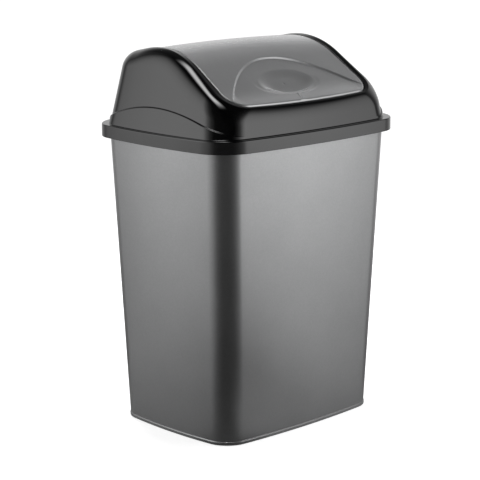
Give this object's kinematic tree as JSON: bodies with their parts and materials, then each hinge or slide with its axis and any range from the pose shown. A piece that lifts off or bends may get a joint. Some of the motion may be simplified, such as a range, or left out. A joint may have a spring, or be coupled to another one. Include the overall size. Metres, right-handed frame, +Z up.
{
  "type": "countertop trash can",
  "caption": "Small tapered rectangular bin with a drafted hood over its rim and a sloping flap that swings inwards and falls shut by its own weight.",
  "frame": {"origin": "middle of the underside, on the surface the can stands on", "axes": "+Z up, -Y towards the low front edge of the flap, X along the flap's pivot axis"},
  "size_m": [0.2, 0.1562, 0.289],
  "materials": {
    "bucket_plastic": "satin pearl-grey moulded plastic",
    "hood_plastic": "polished black moulded plastic",
    "flap_plastic": "satin mid-grey moulded plastic"
  },
  "bodies": {
    "bucket": {"bucket": "bucket_plastic"},
    "hood": {"hood": "hood_plastic"},
    "flap": {"flap": "flap_plastic"}
  },
  "joints": [
    {"name": "hood_lift", "type": "slide", "parent": "bucket", "child": "hood", "axis": [0, 0, 1], "range_m": [0, 0.08]},
    {"name": "flap_swing", "type": "hinge", "parent": "hood", "child": "flap", "pos_m": [0, -0.014, 0.27255], "axis": [1, 0, 0], "range_deg": [0, 60]}
  ]
}
